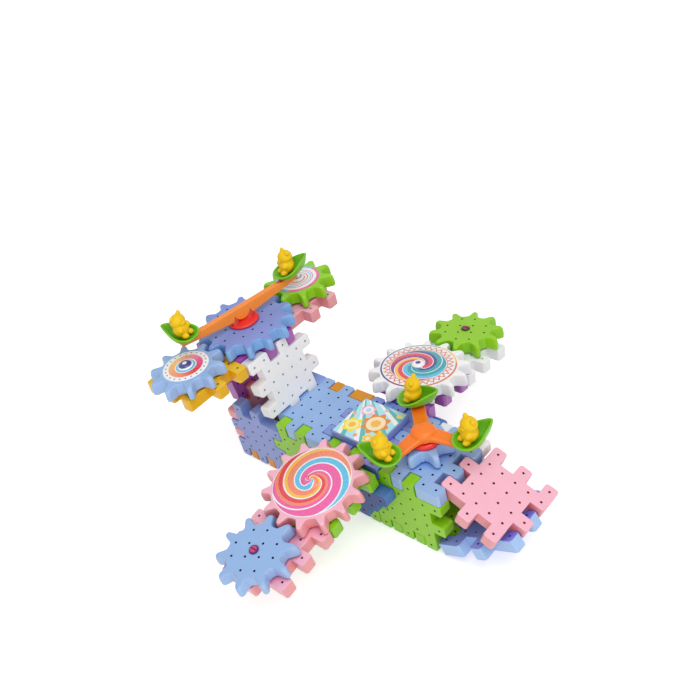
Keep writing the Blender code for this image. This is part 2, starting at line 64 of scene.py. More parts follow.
# The body, tower, tail and wings are square ABS tiles, injection moulded in plain colours.
# Each is a grid of six by six cells, or five by four for a wing bracket, one cell thick, with
# tabs that press into its neighbours' gaps. Every filled cell has a small pit on both faces.
CELL = 0.0085
TILE_GRID = (6, 6)
BRACKET_GRID = (5, 4)
# Half of the gap between two tiles comes off each one's thickness.
HALF_GAP = 0.00015
PIT_RADIUS = 0.095 * CELL
PIT_DEPTH = 0.3 * CELL
TILE_EDGE = 0.045 * CELL
# How far the painted corner shade of every moulded plastic looks for nearby surfaces.
PAINTED_SHADE_REACH = 0.9 * CELL
# Each plastic's face colour, a lighter or darker copy for its steep sides as painted light and shade, and a
# dark painted shade colour for its pits. The chin tile's face is a deeper violet-blue copy of the light blue,
# painted shade for the shadow it lies in; the tail's large gear has a slightly darker face than the periwinkle
# tiles and a lighter sky-blue painted side tint.
TILE_COLOURS = {
    "pink": ((0.91, 0.47, 0.58), (0.86, 0.36, 0.38), (0.42, 0.045, 0.08)),
    "light_blue": ((0.30, 0.47, 0.78), (0.37, 0.54, 0.84), (0.012, 0.02, 0.12)),
    "chin_blue": ((0.30, 0.35, 0.92), (0.38, 0.56, 0.88), (0.012, 0.02, 0.12)),
    "periwinkle": ((0.25, 0.32, 0.68), (0.25, 0.36, 0.76), (0.012, 0.02, 0.12)),
    "tail_gear": ((0.22, 0.30, 0.68), (0.24, 0.46, 0.82), (0.012, 0.02, 0.12)),
    "green": ((0.29, 0.62, 0.01), (0.27, 0.60, 0.01), (0.03, 0.15, 0.004)),
    "white": ((0.93, 0.93, 0.93), (0.86, 0.86, 0.87), (0.55, 0.55, 0.58)),
    "purple": ((0.42, 0.11, 0.44), (0.46, 0.16, 0.50), (0.05, 0.005, 0.09)),
    "yellow": ((0.88, 0.54, 0.02), (0.88, 0.50, 0.02), (0.30, 0.08, 0.0)),
    "amber": ((0.70, 0.30, 0.012), (0.70, 0.28, 0.012), (0.20, 0.05, 0.0)),
    "royal": ((0.035, 0.065, 0.27), (0.09, 0.20, 0.54), (0.005, 0.01, 0.05)),
}
TILES = {
    "light_blue": ("front_top", "nose_lower", "mid_top"),
    "green": ("front_right", "front_bottom", "centre_right", "mid_right", "mid_bottom", "wing_right_root"),
    "white": ("front_left", "tower_front", "wing_left_tip"),
    "pink": ("nose_upper", "rear_end", "tail_left", "wing_right_tip"),
    "periwinkle": ("deck", "centre_left", "centre_bottom", "rear_right", "rear_left"),
    "amber": ("mid_left", "rear_bottom"),
    "purple": ("tower_back", "tail_centre", "wing_left_root"),
    "yellow": ("tail_right",),
    "royal": ("bracket_right", "bracket_left"),
}


def wire(tree, kind, settings=None, **inputs):
    """Adds a node, sets its options and links or fills its inputs by their names."""
    node = tree.nodes.new(kind)
    for name, value in (settings or {}).items():
        setattr(node, name, value)
    for name, value in inputs.items():
        name = name.replace("_", " ")
        socket = node.inputs[int(name[1:]) if name[0] == "i" and name[1:].isdigit() else name]
        if isinstance(value, bpy.types.NodeSocket):
            tree.links.new(value, socket)
        else:
            socket.default_value = value
    return node


def moulded(name, colour, rough=0.3, glow=0.0):
    """Gloss moulded plastic: uneven pigment, painted shade that deepens the colour in corners and creases, and
    a fine orange-peel skin.
    """
    material = bpy.data.materials.new(name)
    material.use_nodes = True
    tree = material.node_tree
    shader = tree.nodes["Principled BSDF"]
    place = wire(tree, "ShaderNodeTexCoord").outputs["Object"]
    cloud = wire(tree, "ShaderNodeTexNoise", Vector=place, Scale=55.0, Detail=2.0)
    tint = wire(tree, "ShaderNodeMix", {"data_type": "RGBA"}, Factor=cloud.outputs["Fac"])
    tint.inputs[6].default_value = (*(c * 0.96 for c in colour), 1)
    tint.inputs[7].default_value = (*(min(c * 1.04, 0.95) for c in colour), 1)
    # Painted shade: where ambient occlusion finds nearby surfaces, the colour is mixed towards a darker, more
    # saturated copy of itself.
    corner = wire(tree, "ShaderNodeAmbientOcclusion", {"samples": 8}, Distance=PAINTED_SHADE_REACH)
    open_air = wire(tree, "ShaderNodeMapRange", Value=corner.outputs["AO"])
    open_air.inputs["From Min"].default_value = 0.2
    open_air.inputs["From Max"].default_value = 0.75
    painted_corner_shade = wire(tree, "ShaderNodeMix", {"data_type": "RGBA"}, Factor=open_air.outputs["Result"])
    peak = max(colour)
    painted_corner_shade.inputs[6].default_value = (*(c * (0.3 + 0.64 * c / peak) for c in colour), 1)
    tree.links.new(tint.outputs[2], painted_corner_shade.inputs[7])
    tree.links.new(painted_corner_shade.outputs[2], shader.inputs["Base Color"])
    skin = wire(tree, "ShaderNodeTexNoise", Vector=place, Scale=900.0, Detail=2.0)
    bump = wire(tree, "ShaderNodeBump", Strength=0.03, Distance=0.0001, Height=skin.outputs["Fac"])
    tree.links.new(bump.outputs["Normal"], shader.inputs["Normal"])
    gloss = wire(tree, "ShaderNodeMapRange", Value=skin.outputs["Fac"])
    gloss.inputs["To Min"].default_value = rough - 0.04
    gloss.inputs["To Max"].default_value = rough + 0.05
    tree.links.new(gloss.outputs["Result"], shader.inputs["Roughness"])
    shader.inputs["IOR"].default_value = 1.46
    shader.inputs["Specular IOR Level"].default_value = 0.4
    shader.inputs["Subsurface Weight"].default_value = glow
    shader.inputs["Subsurface Radius"].default_value = (1.0, 0.6, 0.5)
    shader.inputs["Subsurface Scale"].default_value = 0.002
    return material


def pitted_tree():
    """Geometry Nodes: cuts a pit into both faces over each cell of a grid that the plate fills."""
    tree = bpy.data.node_groups.new("pitted_plate", "GeometryNodeTree")
    named = {}
    for name, kind in (
        ("Plate", "Geometry"), ("Columns", "Int"), ("Rows", "Int"), ("Pitch", "Float"), ("Thickness", "Float"),
        ("Reach", "Float"), ("Turn", "Float"), ("Pit Radius", "Float"), ("Pit Depth", "Float"),
        ("Face", "Material"), ("Side", "Material"), ("Pit", "Material"),
    ):
        socket = tree.interface.new_socket(name=name, in_out="INPUT", socket_type="NodeSocket" + kind)
        named[name] = socket.identifier
    tree.interface.new_socket(name="Plate", in_out="OUTPUT", socket_type="NodeSocketGeometry")
    given = tree.nodes.new("NodeGroupInput").outputs

    def maths(operation, a, b=0.0):
        return wire(tree, "ShaderNodeMath", {"operation": operation}, i0=a, i1=b).outputs[0]

    wide = maths("MULTIPLY", maths("SUBTRACT", given["Columns"], 1.0), given["Pitch"])
    high = maths("MULTIPLY", maths("SUBTRACT", given["Rows"], 1.0), given["Pitch"])
    grid = wire(tree, "GeometryNodeMeshGrid", Size_X=wide, Size_Y=high, Vertices_X=given["Columns"],
                Vertices_Y=given["Rows"])
    turned_by = wire(tree, "ShaderNodeCombineXYZ", Z=given["Turn"]).outputs[0]
    grid = wire(tree, "GeometryNodeTransform", Geometry=grid.outputs["Mesh"], Rotation=turned_by)
    place = wire(tree, "GeometryNodeInputPosition").outputs[0]
    above = wire(tree, "ShaderNodeVectorMath", {"operation": "ADD"}, i0=place, i1=(0, 0, CELL)).outputs[0]
    struck = wire(tree, "GeometryNodeRaycast", Target_Geometry=given["Plate"], Source_Position=above,
                  Ray_Direction=(0, 0, -1), Ray_Length=3 * CELL)
    far = wire(tree, "ShaderNodeVectorMath", {"operation": "LENGTH"}, i0=place).outputs["Value"]
    less = {"data_type": "FLOAT", "operation": "LESS_THAN"}
    near = wire(tree, "FunctionNodeCompare", less, i0=far, i1=given["Reach"])
    kept = wire(tree, "FunctionNodeBooleanMath", {"operation": "AND"}, i0=struck.outputs["Is Hit"],
                i1=near.outputs[0])
    cone = wire(tree, "GeometryNodeMeshCone", Vertices=10, Radius_Top=given["Pit Radius"],
                Radius_Bottom=maths("MULTIPLY", given["Pit Radius"], 0.6), Depth=given["Pit Depth"])
    sunk = wire(tree, "ShaderNodeCombineXYZ", Z=maths("MULTIPLY", given["Pit Depth"], -0.85)).outputs[0]
    cutter = wire(tree, "GeometryNodeTransform", Geometry=cone.outputs["Mesh"], Translation=sunk)
    # Painted shade: the pit walls take the Pit material, a dark colour standing in for the shade inside each
    # pit.
    inked = wire(tree, "GeometryNodeSetMaterial", Geometry=cutter.outputs[0], Material=given["Pit"]).outputs[0]
    top = wire(tree, "GeometryNodeInstanceOnPoints", Points=grid.outputs[0], Selection=kept.outputs[0],
               Instance=inked)
    back = wire(tree, "ShaderNodeCombineXYZ", Z=maths("MULTIPLY", given["Thickness"], -1.0)).outputs[0]
    under = wire(tree, "GeometryNodeInstanceOnPoints", Points=grid.outputs[0], Selection=kept.outputs[0],
                 Instance=inked, Rotation=(pi, 0, 0))
    under = wire(tree, "GeometryNodeTransform", Geometry=under.outputs[0], Translation=back)
    both = tree.nodes.new("GeometryNodeJoinGeometry")
    tree.links.new(top.outputs[0], both.inputs[0])
    tree.links.new(under.outputs[0], both.inputs[0])
    solid = wire(tree, "GeometryNodeRealizeInstances", Geometry=both.outputs[0])
    cut = wire(tree, "GeometryNodeMeshBoolean", {"operation": "DIFFERENCE", "solver": "EXACT"})
    tree.links.new(given["Plate"], cut.inputs[0])
    tree.links.new(solid.outputs[0], cut.inputs[1])
    flat = wire(tree, "GeometryNodeRealizeInstances", Geometry=cut.outputs[0])
    pit = wire(tree, "GeometryNodeMaterialSelection", Material=given["Pit"])
    rest = wire(tree, "FunctionNodeBooleanMath", {"operation": "NOT"}, i0=pit.outputs[0])
    done = wire(tree, "GeometryNodeSetMaterial", Geometry=flat.outputs[0], Selection=rest.outputs[0],
                Material=given["Face"])
    # Painted light and shade: faces steeper than about 57 degrees take the Side material, a lighter or darker
    # copy of the plastic for how light falls on sides.
    normal = wire(tree, "GeometryNodeInputNormal").outputs[0]
    facing = wire(tree, "ShaderNodeSeparateXYZ", Vector=normal).outputs[2]
    steep = wire(tree, "FunctionNodeCompare", less, i0=maths("ABSOLUTE", facing), i1=0.55)
    edge = wire(tree, "FunctionNodeBooleanMath", {"operation": "AND"}, i0=rest.outputs[0], i1=steep.outputs[0])
    done = wire(tree, "GeometryNodeSetMaterial", Geometry=done.outputs[0], Selection=edge.outputs[0],
                Material=given["Side"])
    tree.links.new(done.outputs[0], tree.nodes.new("NodeGroupOutput").inputs[0])
    return tree, named


def lie(mesh):
    """The frame of a flat plate: x and y along its edges, z out of its larger face, centred there."""
    areas = {}
    for face in mesh.polygons:
        key = tuple(round(c, 2) + 0.0 for c in face.normal)
        areas[key] = areas.get(key, 0) + face.area
    key = max(areas, key=areas.get)
    alike = [f for f in mesh.polygons if (f.normal - Vector(key)).length < 0.03]
    out = sum((f.normal * f.area for f in alike), Vector()).normalized()
    centre = sum((v.co for v in mesh.vertices), Vector()) / len(mesh.vertices)
    if out.z < -0.5 or (abs(out.y) > 0.5 and out.y * centre.y < 0):
        out = -out
    along = Vector((1, 0, 0)) if abs(out.x) < 0.3 else Vector((0, 1, 0))
    along = (along - out * out.dot(along)).normalized()
    across = out.cross(along)
    spans = []
    for axis in (along, across, out):
        reach = [v.co.dot(axis) for v in mesh.vertices]
        spans.append((min(reach), max(reach)))
    middle = along * sum(spans[0]) / 2 + across * sum(spans[1]) / 2 + out * spans[2][1]
    size = [high - low for low, high in spans]
    return Matrix.Translation(middle) @ Matrix((along, across, out)).transposed().to_4x4(), size


def merged(mesh):
    """A copy of a CAD node's mesh as whole flat faces."""
    form = bmesh.new()
    form.from_mesh(mesh)
    bmesh.ops.remove_doubles(form, verts=form.verts, dist=2e-6)
    bmesh.ops.dissolve_limit(form, angle_limit=radians(0.6), verts=form.verts, edges=form.edges)
    for face in form.faces:
        face.smooth = True
    copy = bpy.data.meshes.new("merged")
    form.to_mesh(copy)
    form.free()
    return copy


helpers = []


def settle(piece, name, at, body, replaced=()):
    bpy.context.view_layer.update()
    mesh = bpy.data.meshes.new_from_object(piece.evaluated_get(bpy.context.evaluated_depsgraph_get()))
    bpy.data.objects.remove(piece)
    if not mesh.polygons:
        raise ValueError(name + " lost its mesh in a Boolean")
    while helpers:
        bpy.data.objects.remove(helpers.pop())
    mesh.transform(at)
    done = bpy.data.objects.new(name, mesh)
    bpy.context.scene.collection.objects.link(done)
    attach(done, body)
    if replaced:
        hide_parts(*replaced)


def loose(name, mesh, *materials):
    """A working object, before settle."""
    piece = bpy.data.objects.new(name, mesh)
    bpy.context.scene.collection.objects.link(piece)
    for material in materials:
        mesh.materials.append(material)
    return piece


def soften(piece, width, segments):
    """Rounds a piece's edges as the mould does."""
    bevel = piece.modifiers.new("edge", "BEVEL")
    bevel.width = width
    bevel.segments = segments
    bevel.limit_method = "ANGLE"
    bevel.angle_limit = radians(35)
    bevel.miter_outer = "MITER_SHARP"


def even(piece):
    """Keeps large faces flat beside their rounded edges."""
    normals = piece.modifiers.new("even", "WEIGHTED_NORMAL")
    normals.weight = 50
    normals.keep_sharp = True


PITTED, PITTED_INPUTS = pitted_tree()


def pit(piece, slot, columns, rows, thickness, reach, turn=0.0):
    """Adds the pits to a plate that lies in its own x and y with its face at z 0."""
    pits = piece.modifiers.new("pits", "NODES")
    pits.node_group = PITTED
    for name, value in (
        ("Columns", columns), ("Rows", rows), ("Pitch", CELL), ("Thickness", thickness), ("Reach", reach),
        ("Turn", turn), ("Pit Radius", PIT_RADIUS), ("Pit Depth", PIT_DEPTH), ("Face", plastics[slot][0]),
        ("Side", plastics[slot][1]), ("Pit", plastics[slot][2]),
    ):
        pits[PITTED_INPUTS[name]] = value


# Each slot's materials: the plastic, a painted light and shade copy for steep sides, and a dark painted shade
# copy for the pits.
plastics = {}
for slot, (face, side, pit_shade) in TILE_COLOURS.items():
    glow = 0.12 if slot in ("pink", "white", "yellow") else 0.0
    plastics[slot] = (moulded(slot + "_plastic", face, glow=glow), moulded(slot + "_edge", side, glow=glow),
                      moulded(slot + "_pit", pit_shade, rough=0.5))
for slot, names in TILES.items():
    for node in names:
        columns, rows = BRACKET_GRID if node.startswith("bracket") else TILE_GRID
        mesh = merged(nodes[node].data)
        at, size = lie(mesh)
        mesh.transform(at.inverted())
        # Painted shade: the chin tile takes a deeper violet-blue copy of the light blue, for the shadow its
        # face lies in.
        plastic = "chin_blue" if node == "nose_lower" else slot
        piece = loose(node, mesh, *plastics[plastic])
        soften(piece, TILE_EDGE, 2)
        pit(piece, plastic, columns, rows, CELL - HALF_GAP, 1.0)
        even(piece)
        settle(piece, node + "_moulded", at, nodes[node]["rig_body"], (node,))

# The gears are the same plastic, a cell thick, with fourteen or ten tapered teeth whose
# ends and edges are well rounded so that small hands can turn them against each other.
# Their faces carry the same pits, out to the root of the teeth.
LARGE_REACH = 2.7 * CELL
SMALL_REACH = 1.9 * CELL
GRID_TURN = radians(26)
# Each gear's plastic, its teeth, how far out its pits reach and how its grid of pits is turned.
GEARS = {
    "gear_right_large": ("pink", 14, LARGE_REACH, 0.0),
    "gear_right_small": ("light_blue", 10, SMALL_REACH, GRID_TURN),
    "gear_left_large": ("white", 14, LARGE_REACH, 0.0),
    "gear_left_small": ("green", 10, SMALL_REACH, GRID_TURN),
    "gear_tail_large": ("periwinkle", 14, LARGE_REACH, 0.0),
    "gear_tail_right": ("light_blue", 10, SMALL_REACH, 0.0),
    "gear_tail_left": ("green", 10, SMALL_REACH, 0.0),
    "gear_rotor": ("light_blue", 6, 0.0, 0.0),
}
# In cells: how far the teeth's tips, their sides and the valleys draw in at each height.
GEAR_LEVELS = (
    (-1.0, 0.1, 0.07, 0.05), (-0.96, 0.03, 0.02, 0.02), (-0.9, 0.0, 0.0, 0.0), (-0.6, 0.0, 0.0, 0.0),
    (-0.4, 0.02, 0.0, 0.0), (-0.22, 0.06, 0.0, 0.0), (-0.1, 0.12, 0.005, 0.0), (-0.045, 0.17, 0.025, 0.01),
    (-0.015, 0.22, 0.05, 0.03), (0.0, 0.28, 0.08, 0.05),
)
# In cells: half the width of a tooth at its foot and near its tip, the depth of a valley below
# the pitch circle, and the height of a tooth over it on a large gear and on the others.
FOOT_HALF, TIP_HALF, VALLEY = 0.335, 0.215, 0.52
LARGE_TIP, SMALL_TIP = 0.32, 0.4
# The boss under each gear and the bore through it, as (radius, height) in cells.
BOSS = ((0, -0.5), (0.85, -0.5), (0.85, -1.07), (0.82, -1.094), (0, -1.094))
BORE = ((0, 1), (0.27, 1), (0.27, -2), (0, -2))


def turned(name, profile, count=72):
    """A closed solid of revolution in metres from (radius, height) points that start and end on the axis."""
    form = bmesh.new()
    rings = []
    for radius, height in profile:
        if radius == 0:
            rings.append([form.verts.new((0, 0, height))])
        else:
            rings.append([form.verts.new((radius * cos(tau * k / count), radius * sin(tau * k / count), height))
                          for k in range(count)])
    for low, high in zip(rings, rings[1:]):
        for k in range(count):
            m = (k + 1) % count
            if len(low) == 1:
                form.faces.new((low[0], high[k], high[m]))
            elif len(high) == 1:
                form.faces.new((low[k], low[m], high[0]))
            else:
                form.faces.new((low[k], low[m], high[m], high[k]))
    bmesh.ops.recalc_face_normals(form, faces=form.faces)
    for face in form.faces:
        face.smooth = True
    mesh = bpy.data.meshes.new(name)
    form.to_mesh(mesh)
    form.free()
    return mesh


def skin(rings, name):
    """A closed smooth mesh through rings of points in cells, with both ends filled."""
    form = bmesh.new()
    made = [[form.verts.new(Vector(p) * CELL) for p in ring] for ring in rings]
    for low, high in zip(made, made[1:]):
        for k in range(len(low)):
            m = (k + 1) % len(low)
            form.faces.new((low[k], low[m], high[m], high[k]))
    form.faces.new(made[0][::-1])
    form.faces.new(made[-1])
    bmesh.ops.recalc_face_normals(form, faces=form.faces)
    for face in form.faces:
        face.smooth = True
    mesh = bpy.data.meshes.new(name)
    form.to_mesh(mesh)
    form.free()
    return mesh


def gear_ring(teeth, height, tip_in, side_in, root_in):
    """One outline of a gear, in cells: round-ended teeth with filleted valleys."""
    pitch = teeth / 4
    tip = pitch + (SMALL_TIP if teeth < 14 else LARGE_TIP) - tip_in
    root = pitch - VALLEY - root_in
    foot_wide = FOOT_HALF - side_in * 0.7
    tip_wide = TIP_HALF - side_in * 0.8
    first = pi / 2 + pi / teeth if teeth == 10 else pi / 2
    half = [(root + 0.01, foot_wide + 0.1), (root + 0.045, foot_wide + 0.04), (root + 0.12, foot_wide),
            (tip - tip_wide * 1.05, tip_wide + 0.01), (tip - tip_wide * 0.62, tip_wide * 0.92),
            (tip - tip_wide * 0.28, tip_wide * 0.7), (tip - tip_wide * 0.07, tip_wide * 0.38)]
    side = [(r, -w) for r, w in half] + [(tip, 0)] + half[::-1]
    ring = []
    for k in range(teeth):
        a = first + tau * k / teeth
        ring += [(r * cos(a) - w * sin(a), r * sin(a) + w * cos(a), height) for r, w in side]
        b = a + pi / teeth
        ring.append((root * cos(b), root * sin(b), height))
    return ring


def joined(piece, mesh, operation):
    """An exact Boolean with a helper mesh. The helper goes once the piece is settled."""
    helper = bpy.data.objects.new("helper", mesh)
    bpy.context.scene.collection.objects.link(helper)
    cut = piece.modifiers.new(operation.lower(), "BOOLEAN")
    cut.operation = operation
    cut.solver = "EXACT"
    cut.material_mode = "TRANSFER"
    cut.object = helper
    helpers.append(helper)


gear_frames = {}
for node, (slot, teeth, reach, turn) in GEARS.items():
    at, size = lie(merged(nodes[node].data))
    # The tail's large gear: a slightly darker face than the periwinkle tiles, with a lighter sky-blue painted
    # side tint.
    plastic = "tail_gear" if node == "gear_tail_large" else slot
    piece = loose(node, skin([gear_ring(teeth, *level) for level in GEAR_LEVELS], node), *plastics[plastic])
    joined(piece, turned("boss", [(r * CELL, h * CELL) for r, h in BOSS], 48), "UNION")
    joined(piece, turned("bore", [(r * CELL, h * CELL) for r, h in BORE], 32), "DIFFERENCE")
    pit(piece, plastic, *TILE_GRID, CELL, reach, turn)
    even(piece)
    gear_frames[node] = at
    settle(piece, node + "_moulded", at, nodes[node]["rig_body"], (node,))

# Printed vinyl discs are pressed onto four of the gears. Each is thin enough to follow
# the pin's head below it, and is printed with rings, beads or a pinwheel in bright inks.
STICKER_THICK = 0.03 * CELL
BUMP_HEIGHT = 0.26 * CELL
BUMP_RADIUS = 0.4 * CELL


class Print:
    """A printed face's ink, built up as layers of colour over masks, in the disc's own x and y in cells."""

    def __init__(self, name, at, ground):
        self.material = bpy.data.materials.new(name)
        self.material.use_nodes = True
        self.tree = self.material.node_tree
        self.shader = self.tree.nodes["Principled BSDF"]
        self.shader.inputs["Coat Weight"].default_value = 0.3
        self.shader.inputs["Coat Roughness"].default_value = 0.1
        place = wire(self.tree, "ShaderNodeTexCoord").outputs["Object"]
        flat = wire(self.tree, "ShaderNodeMapping", {"vector_type": "TEXTURE"}, Vector=place,
                    Location=at.to_translation(), Rotation=at.to_euler(), Scale=(CELL, CELL, CELL))
        self.flat = flat.outputs[0]
        grain = wire(self.tree, "ShaderNodeTexNoise", Vector=self.flat, Scale=7.0, Detail=3.0).outputs["Fac"]
        gloss = wire(self.tree, "ShaderNodeMapRange", Value=grain)
        gloss.inputs["To Min"].default_value = 0.22
        gloss.inputs["To Max"].default_value = 0.34
        self.tree.links.new(gloss.outputs["Result"], self.shader.inputs["Roughness"])
        first = self.tree.nodes.new("ShaderNodeRGB")
        first.outputs[0].default_value = (*ground, 1)
        self.ink = first.outputs[0]

    def maths(self, operation, a, b=0.0):
        return wire(self.tree, "ShaderNodeMath", {"operation": operation}, i0=a, i1=b).outputs[0]

    def around(self, x=0.0, y=0.0):
        """Distance in cells and turn from 0 to 1 about a point."""
        moved = wire(self.tree, "ShaderNodeVectorMath", {"operation": "SUBTRACT"}, i0=self.flat, i1=(x, y, 0))
        along, across, _ = wire(self.tree, "ShaderNodeSeparateXYZ", Vector=moved.outputs[0]).outputs
        square = self.maths("ADD", self.maths("MULTIPLY", along, along), self.maths("MULTIPLY", across, across))
        angle = self.maths("ARCTAN2", across, along)
        return self.maths("SQRT", square), self.maths("ADD", self.maths("DIVIDE", angle, tau), 0.5)

    def below(self, value, limit, soft=0.02):
        """1 where the value is under the limit, with a soft printed edge."""
        gap = self.maths("DIVIDE", self.maths("SUBTRACT", limit, value), soft)
        clamp = wire(self.tree, "ShaderNodeClamp", Value=self.maths("ADD", gap, 0.5))
        return clamp.outputs[0]

    def lay(self, mask, colour):
        """One more ink where the mask is 1."""
        mix = wire(self.tree, "ShaderNodeMix", {"data_type": "RGBA"}, Factor=mask)
        self.tree.links.new(self.ink, mix.inputs[6])
        if isinstance(colour, bpy.types.NodeSocket):
            self.tree.links.new(colour, mix.inputs[7])
        else:
            mix.inputs[7].default_value = (*colour, 1)
        self.ink = mix.outputs[2]

    def ring(self, radius, low, high, colour, soft=0.03):
        """An ink between two radii."""
        self.lay(self.maths("MULTIPLY", self.below(radius, high, soft), self.below(low, radius, soft)), colour)

    def bands(self, value, stops, blend="CONSTANT"):
        """A colour from a value's whole-number remainder, by (start, colour) bands."""
        ramp = self.tree.nodes.new("ShaderNodeValToRGB")
        ramp.color_ramp.interpolation = blend
        while len(ramp.color_ramp.elements) < len(stops):
            ramp.color_ramp.elements.new(0.5)
        for element, (start, colour) in zip(ramp.color_ramp.elements, stops):
            element.position = start
        for element, (start, colour) in zip(ramp.color_ramp.elements, stops):
            element.color = (*colour, 1)
        self.tree.links.new(self.maths("FRACT", value), ramp.inputs[0])
        return ramp.outputs[0]

    def done(self):
        self.tree.links.new(self.ink, self.shader.inputs["Base Color"])
        return self.material


def sticker(gear, radius, ink):
    """A disc on a gear's face that follows the pin's head."""
    rise = [(0, 1), (0.75, 1), (1.0, 0.93), (1.22, 0.55), (1.4, 0.2), (1.6, 0.04), (1.85, 0)]
    top = [(BUMP_RADIUS * r, STICKER_THICK + BUMP_HEIGHT * h) for r, h in rise]
    low = [(r, h - STICKER_THICK * 0.9) for r, h in top]
    rim = [(radius - 0.02 * CELL, STICKER_THICK), (radius, STICKER_THICK * 0.7), (radius, STICKER_THICK * 0.1)]
    mesh = turned("sticker_" + gear, top + rim + low[::-1], 120)
    piece = loose("sticker_" + gear, mesh, ink)
    body = nodes["gear_" + gear]["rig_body"]
    settle(piece, "sticker_" + gear, gear_frames["gear_" + gear], body)


PAPER = (0.90, 0.90, 0.92)
ROSE = (0.84, 0.12, 0.38)
SKY = (0.12, 0.52, 0.78)
CORAL = (0.90, 0.26, 0.15)
CRIMSON = (0.78, 0.06, 0.09)
HONEY = (0.95, 0.52, 0.08)
NAVY = (0.06, 0.05, 0.28)
TEAL = (0.03, 0.36, 0.42)
PLUM = (0.28, 0.02, 0.22)
RUST = (0.72, 0.16, 0.06)

# Pinwheel in rose, sky blue, coral and honey with white lines between its arms.
wheel = Print("pinwheel_ink", gear_frames["gear_right_large"], PAPER)
radius, turn = wheel.around()
wind = wheel.maths("MULTIPLY", wheel.maths("LOGARITHM", wheel.maths("ADD", radius, 0.1), 2.718), 0.17)
curl = wheel.maths("ADD", turn, wheel.maths("ADD", wind, wheel.maths("MULTIPLY", radius, 0.25)))
arms = wheel.bands(curl, ((0.0, PAPER), (0.035, ROSE), (0.25, PAPER), (0.285, SKY), (0.42, PAPER),
                          (0.455, CORAL), (0.62, HONEY), (0.7, PAPER), (0.735, CRIMSON), (0.84, CORAL),
                          (0.92, ROSE)))
wheel.lay(wheel.below(radius, 2.78), arms)
sticker("right_large", 2.84 * CELL, wheel.done())

# Rings about a two-armed swirl: a zigzag in rust, a navy to orange rim, teal and plum within.
rings = Print("zigzag_ink", gear_frames["gear_left_large"], PAPER)
radius, turn = rings.around()
rim = rings.bands(rings.maths("ADD", turn, 0.1),
                  ((0.0, NAVY), (0.3, PLUM), (0.45, RUST), (0.7, HONEY), (0.85, TEAL)))
rings.lay(rings.maths("SUBTRACT", 1.0, rings.below(radius, 2.72)), rim)
zigzag = rings.maths("MULTIPLY", rings.maths("PINGPONG", rings.maths("MULTIPLY", turn, 64.0), 1.0), 0.36)
zag = rings.maths("ABSOLUTE", rings.maths("SUBTRACT", rings.maths("SUBTRACT", radius, 2.22), zigzag))
rings.lay(rings.below(zag, 0.085), RUST)
rings.ring(radius, 2.12, 2.19, RUST)
curl = rings.maths("ADD", turn, rings.maths("MULTIPLY", radius, -0.36))
swirl = rings.bands(curl, ((0.0, TEAL), (0.13, NAVY), (0.22, PAPER), (0.245, CRIMSON), (0.37, PLUM),
                           (0.47, PAPER), (0.495, HONEY), (0.58, CRIMSON), (0.7, PAPER), (0.725, SKY),
                           (0.85, TEAL), (0.975, PAPER)))
rings.lay(rings.below(radius, 2.06), swirl)
rings.lay(rings.below(radius, 0.5), PAPER)
rings.lay(rings.below(radius, 0.2), NAVY)
sticker("left_large", 2.84 * CELL, rings.done())

# White with a ring of dark beads, a rose to honey band and a blue target.
beads = Print("bead_ink", gear_frames["gear_tail_right"], PAPER)
radius, turn = beads.around()
glow = beads.bands(turn, ((0.0, HONEY), (0.3, CORAL), (0.5, CRIMSON), (0.7, ROSE), (0.86, CORAL), (1.0, HONEY)),
                   "LINEAR")
beads.lay(beads.below(radius, 1.3), glow)
beads.lay(beads.below(radius, 0.82), PAPER)
beads.ring(radius, 0.58, 0.74, SKY)
beads.lay(beads.below(radius, 0.5), NAVY)
beads.lay(beads.below(radius, 0.17), PAPER)
step = beads.maths("SUBTRACT", beads.maths("FRACT", beads.maths("MULTIPLY", turn, 22.0)), 0.5)
away = beads.maths("MULTIPLY", step, 0.43)
out = beads.maths("SUBTRACT", radius, 1.52)
square = beads.maths("ADD", beads.maths("MULTIPLY", away, away), beads.maths("MULTIPLY", out, out))
reach = beads.maths("SQRT", square)
beads.lay(beads.below(reach, 0.065), NAVY)
sticker("tail_right", 1.74 * CELL, beads.done())

# Fine crimson and blue rings on white, with a sky-blue and crimson rim.
target = Print("target_ink", gear_frames["gear_tail_left"], PAPER)
radius, turn = target.around()
rim = target.bands(target.maths("ADD", turn, 0.12), ((0.0, SKY), (0.42, ROSE), (0.86, SKY)))
target.lay(target.maths("SUBTRACT", 1.0, target.below(radius, 1.56)), rim)
for size, colour in ((1.26, ROSE), (1.1, SKY), (0.86, CRIMSON), (0.62, RUST), (0.4, NAVY)):
    target.ring(radius, size - 0.05, size + 0.02, colour)
target.lay(target.below(radius, 0.16), HONEY)
sticker("tail_left", 1.78 * CELL, target.done())

# Axle pins: magenta pegs pressed up through the tiles, each head with a screwdriver slot
# and a dark ring where it turns in the gear. They hold the gears on and stay still.
SHAFT = 0.25 * CELL
PIN_HEAD = 0.34 * CELL
PIN_SEAT = 1.165 * CELL
PIN_FOOT = -0.965 * CELL
PIN_RISE = 0.13 * CELL
GEAR_TOP = 1.13 * CELL
magenta = moulded("magenta_plastic", (0.62, 0.05, 0.19))
ring_dark = moulded("pin_ring", (0.10, 0.02, 0.12), rough=0.45)
russet = moulded("russet_plastic", (0.30, 0.07, 0.02), rough=0.45)


def box_mesh(name, size, centre):
    """A plain box."""
    form = bmesh.new()
    bmesh.ops.create_cube(form, size=1)
    bmesh.ops.transform(form, matrix=Matrix.Translation(centre) @ Matrix.Diagonal((*size, 1)), verts=form.verts)
    mesh = bpy.data.meshes.new(name)
    form.to_mesh(mesh)
    form.free()
    return mesh


